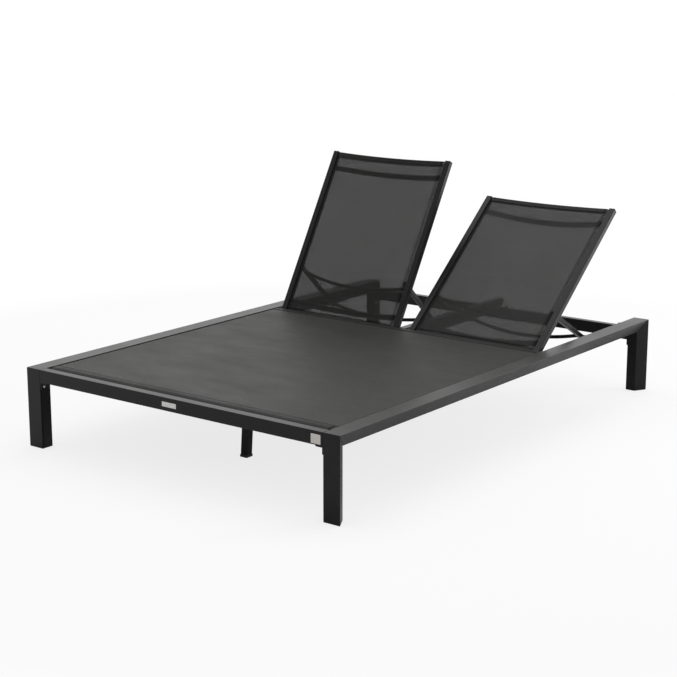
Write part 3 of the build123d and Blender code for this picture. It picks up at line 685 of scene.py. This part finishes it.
def hem_mesh(name, surface, first, last, rise, width, length):
    """The panel's own surface from one share of its length to another, made thick."""
    half = hem_thickness / 2
    fold = hem_fold * half
    forth = [first + (last - first) * (step + 0.5) / hem_steps for step in range(hem_steps)]
    ring = [(first, -fold), (first, fold)] + [(along, half) for along in forth]
    ring += [(last, fold), (last, -fold)] + [(along, -half) for along in reversed(forth)]
    across = evenly(width, side_margin, hem_columns)
    places = [surface(u, v) + rise * lift for u in across for v, lift in ring]
    faces = []
    for column in range(hem_columns):
        for spot in range(len(ring)):
            this = column * len(ring) + spot
            following = column * len(ring) + (spot + 1) % len(ring)
            faces.append((this, following, following + len(ring), this + len(ring)))
    faces.append(tuple(reversed(range(len(ring)))))
    faces.append(tuple(range(hem_columns * len(ring), (hem_columns + 1) * len(ring))))
    mesh = bpy.data.meshes.new(name)
    mesh.from_pydata(places, [], faces)
    layer = mesh.uv_layers.new(name="cloth")
    for loop in mesh.loops:
        column, spot = divmod(loop.vertex_index, len(ring))
        layer.data[loop.index].uv = (across[column] * width, ring[spot][0] * length)
    shell = bmesh.new()
    shell.from_mesh(mesh)
    bmesh.ops.recalc_face_normals(shell, faces=shell.faces)
    shell.to_mesh(mesh)
    shell.free()
    mesh.shade_smooth()
    return mesh


# Lock stitches
# Two rows of black polyester thread sew each hem down, with a stitch about every 4.5 mm. Each stitch is
# a short bump of thread, half sunk in the cloth.
stitch_sizes = {"Pitch": 0.0045, "Length": 0.0034, "Thickness": 0.00045}
stitch_margin = 0.0155
stitch_lift = 0.0015
stitch_row_shares = (0.22, 0.80)
stitch_line_steps = 48
black_thread = material_from(
    coat_group, "black_thread",
    {
        "Colour": (0.02, 0.02, 0.02, 1), "Top sheen and dust": 0.0, "Pebble size": 0.0003, "Pebble height": 0.00005,
        "Roughness": 0.6,
    },
)
stitch_tree, given = repeating_tree("lock_stitches", stitch_sizes)
line = add(stitch_tree, "GeometryNodeMeshToCurve", {"Mesh": given["Geometry"]})
dots = add(
    stitch_tree, "GeometryNodeCurveToPoints",
    {"Curve": line.outputs[0], "Length": given["Pitch"]},
    mode="LENGTH",
)
loop_size = add(
    stitch_tree, "ShaderNodeCombineXYZ",
    {"X": given["Thickness"], "Y": given["Thickness"], "Z": given["Length"]},
)
knot = add(stitch_tree, "GeometryNodeMeshIcoSphere", {"Radius": 0.5, "Subdivisions": 1})
stitch = add(
    stitch_tree, "GeometryNodeTransform",
    {"Geometry": knot.outputs[0], "Scale": loop_size.outputs[0]},
)
sewn = add(
    stitch_tree, "GeometryNodeInstanceOnPoints",
    {"Points": dots.outputs["Points"], "Instance": stitch.outputs[0], "Rotation": dots.outputs["Rotation"]},
)
finish_tree(stitch_tree, sewn.outputs[0], given["Finish"])


def stitch_mesh(name, surface, rows, rise, width):
    """Stitches along the given shares of a panel's length, as one plain mesh."""
    columns = evenly(width, stitch_margin, stitch_line_steps)
    places = [surface(u, v) + rise * stitch_lift for v in rows for u in columns]
    starts = [row * len(columns) + column for row in range(len(rows)) for column in range(stitch_line_steps)]
    guide = bpy.data.meshes.new(name + "_lines")
    guide.from_pydata(places, [(start, start + 1) for start in starts], [])
    return repeated(name, stitch_tree, guide, {"Finish": black_thread})


# Seat sling
# One panel of the cloth from rail to rail, its beads in the grooves of the side rails. It rolls down a
# little at the front rail, and ends just before the centre beam.
def sling_with_hems(
    name, body, node, cloth, origin, run, rise, width, length, hem_widths,
    dip=0.0, belly=0.0, pinches=(0.0016, 0.0016), roll=0.0,
):
    """A stretched panel from origin, width along X and length along run, with a sewn hem at each end."""
    lower_hem = hem_widths[0] / length
    upper_hem = hem_widths[1] / length
    seams = ((hem_widths[0] + seam_inset) / length, 1 - (hem_widths[1] + seam_inset) / length)
    surface = stretched(origin, run, rise, width, length, seams, dip, belly, pinches, roll)
    panel = place_piece(name, panel_mesh(name, surface, width, length, seams), body, cloth)
    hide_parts(node)
    near_share, far_share = stitch_row_shares
    ends = (
        ("lower", 0.0, lower_hem, [lower_hem * near_share, lower_hem * far_share]),
        ("upper", 1 - upper_hem, 1.0, [1 - upper_hem * near_share, 1 - upper_hem * far_share]),
    )
    for end, first, last, rows in ends:
        mesh = hem_mesh(f"{name}_{end}_hem", surface, first, last, rise, width, length)
        place_piece(f"{name}_{end}_hem", mesh, body, hem_cloth)
        mesh = stitch_mesh(f"{name}_{end}_stitches", surface, rows, rise, width)
        place_piece(f"{name}_{end}_stitches", mesh, body)


seat_half_width = 0.6243
seat_height = 0.2804
seat_front = -0.955
seat_rear = 0.2825
seat_hems = (0.036, 0.024)
# The seat's yarn is painted lighter than the backrests' yarn, as painted light on the level seat.
seat_cloth = cloth_material(
    "seat_sling_weave",
    {
        "Yarn": (0.039, 0.0386, 0.0362, 1), "Panel width": 2 * seat_half_width,
        "Panel length": seat_rear - seat_front, "Lower seam": seat_hems[0] + seam_inset,
    },
    openness=0.6,
)
sling_with_hems(
    "seat_sling_panel", body="frame", node="seat_sling", cloth=seat_cloth,
    origin=Vector((-seat_half_width, seat_front, seat_height)), run=Vector((0, 1, 0)),
    rise=Vector((0, 0, 1)), width=2 * seat_half_width, length=seat_rear - seat_front, hem_widths=seat_hems,
    belly=0.003, pinches=(0.0016, 0.0003), roll=0.008,
)

# Backrest slings
# The same cloth, its yarn painted darker than the seat's as painted shade where it stands up, its beads in
# the grooves of a backrest's two side tubes. Its upper edge dips in the middle, and it lies double in a
# darker margin along each side.
hinge = Vector((0, 0.304, 0.272))
back_rise = 0.0084
back_low = -0.007
back_high = 0.7025
inner_groove = 0.0472
outer_groove = 0.5823
back_width = outer_groove - inner_groove
back_length = back_high - back_low
back_hems = (0.014, 0.020)
back_margin = 0.021
back_cloth = cloth_material(
    "backrest_sling_weave",
    {
        "Panel width": back_width, "Panel length": back_length, "Lower seam": back_hems[0] + seam_inset,
        "Upper seam": back_hems[1] + seam_inset, "Margin": back_margin,
    },
    openness=0.74,
)
for side, start, degrees in (("left", -outer_groove, 60), ("right", inner_groove, 40)):
    turn = Matrix.Rotation(math.radians(degrees), 3, "X")
    run = turn @ Vector((0, 1, 0))
    rise = turn @ Vector((0, 0, 1))
    sling_with_hems(
        f"{side}_backrest_panel", body=f"{side}_backrest", node=f"{side}_backrest_sling",
        cloth=back_cloth,
        origin=hinge + Vector((start, 0, 0)) + run * back_low + rise * back_rise, run=run, rise=rise,
        width=back_width, length=back_length, hem_widths=back_hems,
        dip=0.007, belly=0.004,
    )

# Labels on the front rail
# A small blank metal plate near the middle of the front rail, and a blank paper sticker beside the right
# leg. Both are stuck on the rail's front face.
label_corner_steps = 4
label_edge_share = 0.4


def label(name, centre, size, thickness, radius, material):
    """A thin plate with rounded corners, its back on the rail's front face."""
    plate = bmesh.new()
    half_x = size[0] / 2 - radius
    half_z = size[1] / 2 - radius
    outline = []
    corners = ((half_x, half_z), (-half_x, half_z), (-half_x, -half_z), (half_x, -half_z))
    for quarter, (x, z) in enumerate(corners):
        for step in range(label_corner_steps + 1):
            angle = (quarter + step / label_corner_steps) * math.pi / 2
            outline.append((x + radius * math.cos(angle), z + radius * math.sin(angle)))
    face = plate.faces.new([plate.verts.new((centre[0] + x, centre[1], centre[2] + z)) for x, z in outline])
    grown = bmesh.ops.extrude_face_region(plate, geom=[face])
    moved = [part for part in grown["geom"] if isinstance(part, bmesh.types.BMVert)]
    bmesh.ops.translate(plate, verts=moved, vec=(0, -thickness, 0))
    bmesh.ops.recalc_face_normals(plate, faces=plate.faces)
    mesh = bpy.data.meshes.new(name)
    plate.to_mesh(mesh)
    plate.free()
    rounded(place_piece(name, mesh, "frame", material), label_edge_share * thickness)


plate_metal = material_from(
    steel_group, "blank_plate", {"Colour": (0.62, 0.62, 0.61, 1), "Roughness": 0.45}, {"Metallic": 0.35}
)
sticker_paper = material_from(
    coat_group, "blank_sticker",
    {
        "Colour": (0.50, 0.48, 0.45, 1), "Top sheen and dust": 0.0, "Pebble size": 0.004, "Pebble height": 0.00001,
        "Roughness": 0.5, "Mottle": 0.025,
    },
)
label(
    "blank_rail_plate", centre=(-0.0108, -1.0, 0.2622), size=(0.062, 0.0165), thickness=0.0008,
    radius=0.0015, material=plate_metal,
)
label(
    "blank_rail_sticker", centre=(0.5920, -1.0, 0.2592), size=(0.0372, 0.0305), thickness=0.0002,
    radius=0.0010, material=sticker_paper,
)
